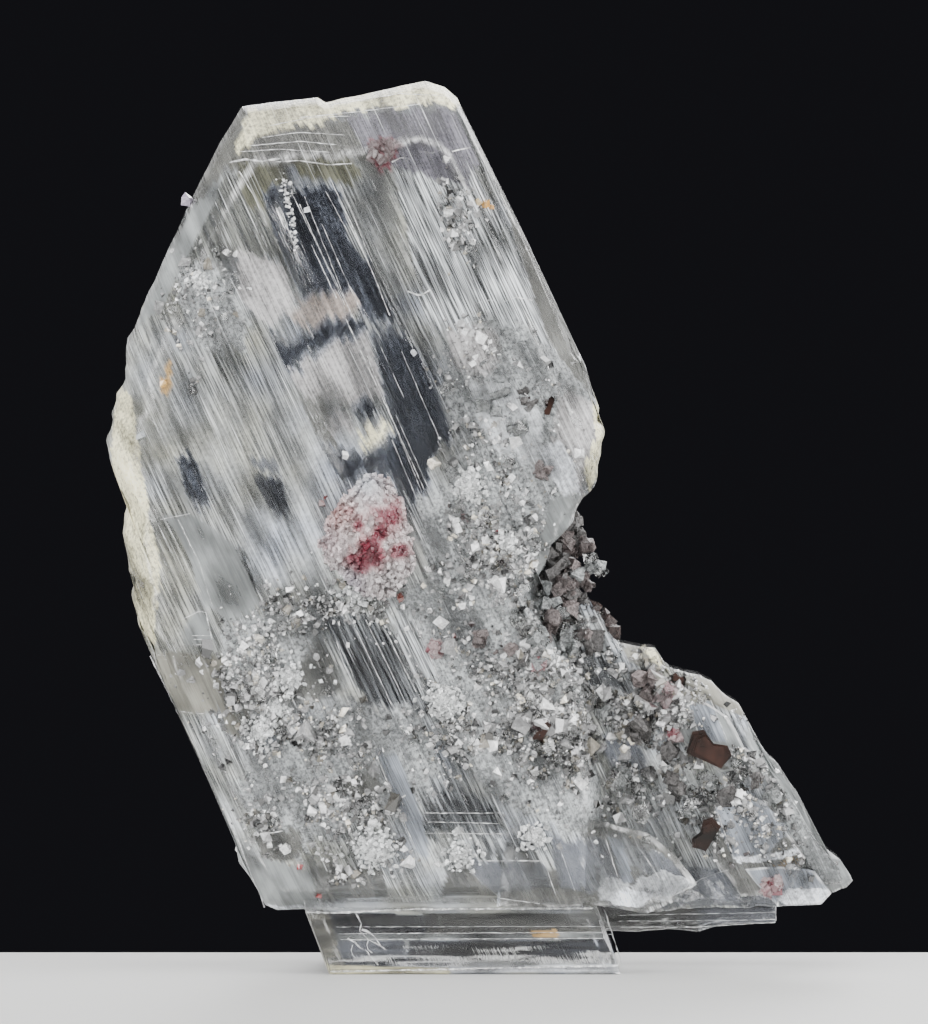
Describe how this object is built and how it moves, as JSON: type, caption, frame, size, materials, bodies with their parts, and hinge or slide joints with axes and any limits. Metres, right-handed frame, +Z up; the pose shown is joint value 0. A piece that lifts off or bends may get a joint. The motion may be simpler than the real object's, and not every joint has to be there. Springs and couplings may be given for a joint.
{
  "type": "gypsum crystal specimen",
  "caption": "Free-standing cluster of clear tabular gypsum blades with sugary small crystals, a red and white lump and brown tablets, standing on a cleaved foot plate.",
  "frame": {"origin": "on the surface it stands on, at mount foot on the flat cleaved end of the foot plate", "axes": "+Z up, -Y out of the broad front face, +X to the right seen from the front"},
  "size_m": [0.0995, 0.03, 0.1197],
  "materials": {
    "clear_gypsum": "clear to milky crystal with pearly cleavage",
    "red_white_stone": "granular, white with red patches",
    "rosy_stone": "translucent pink, faceted",
    "brown_stone": "dark brown, slightly glossy"
  },
  "bodies": {
    "root": {"gypsum_crystals": "clear_gypsum", "red_white_lump": "red_white_stone", "rosy_crystal_1": "rosy_stone", "rosy_crystal_2": "rosy_stone", "rosy_crystal_3": "rosy_stone", "rosy_crystal_4": "rosy_stone", "rosy_crystal_5": "rosy_stone", "rosy_crystal_6": "rosy_stone", "brown_tablet_1": "brown_stone", "brown_tablet_2": "brown_stone", "brown_tablet_3": "brown_stone", "brown_tablet_4": "brown_stone", "brown_tablet_5": "brown_stone"}
  },
  "joints": []
}
